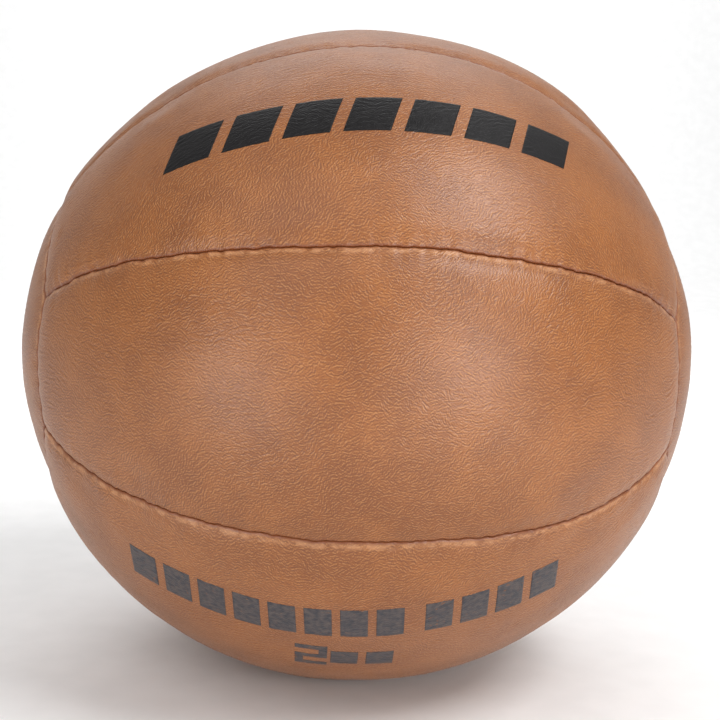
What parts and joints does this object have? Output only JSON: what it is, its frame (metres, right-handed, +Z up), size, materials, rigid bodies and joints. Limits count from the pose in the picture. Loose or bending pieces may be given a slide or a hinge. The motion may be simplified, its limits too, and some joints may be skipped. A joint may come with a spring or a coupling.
{
  "type": "medicine ball",
  "caption": "Stuffed tan leather medicine ball for throwing and strength exercises, with long sewn gores between octagonal end caps.",
  "frame": {"origin": "centre of the flat spot that the ball rests on", "axes": "+X along the ball's length, from end cap to end cap; -Y the printed front; +Z up"},
  "size_m": [0.223, 0.2166, 0.2146],
  "materials": {
    "leather_tan": "satin",
    "waxed_thread": "satin",
    "liner_cotton": "matte",
    "pouch_canvas": "matte",
    "tie_cord": "matte",
    "textile_stuffing": "matte",
    "sand": "matte",
    "print_black": "satin",
    "print_slate": "satin"
  },
  "bodies": {
    "root": {"gore_top": "leather_tan", "gore_front_top": "leather_tan", "gore_front": "leather_tan", "gore_front_bottom": "leather_tan", "gore_bottom": "leather_tan", "gore_back_bottom": "leather_tan", "gore_back": "leather_tan", "gore_back_top": "leather_tan", "end_cap_left": "leather_tan", "end_cap_right": "leather_tan", "thread_front_upper": "waxed_thread", "thread_top_front": "waxed_thread", "thread_top_back": "waxed_thread", "thread_back_upper": "waxed_thread", "thread_back_lower": "waxed_thread", "thread_closing_seam": "waxed_thread", "thread_bottom_front": "waxed_thread", "thread_front_lower": "waxed_thread", "thread_cap_left": "waxed_thread", "thread_cap_right": "waxed_thread", "liner_bag": "liner_cotton", "liner_tie": "tie_cord", "stuffing": "textile_stuffing", "weight_pouch": "pouch_canvas", "pouch_tie": "tie_cord", "weight_fill": "sand", "print_upper_band": "print_black", "print_lower_band": "print_slate", "print_weight_mark": "print_slate"}
  },
  "joints": []
}
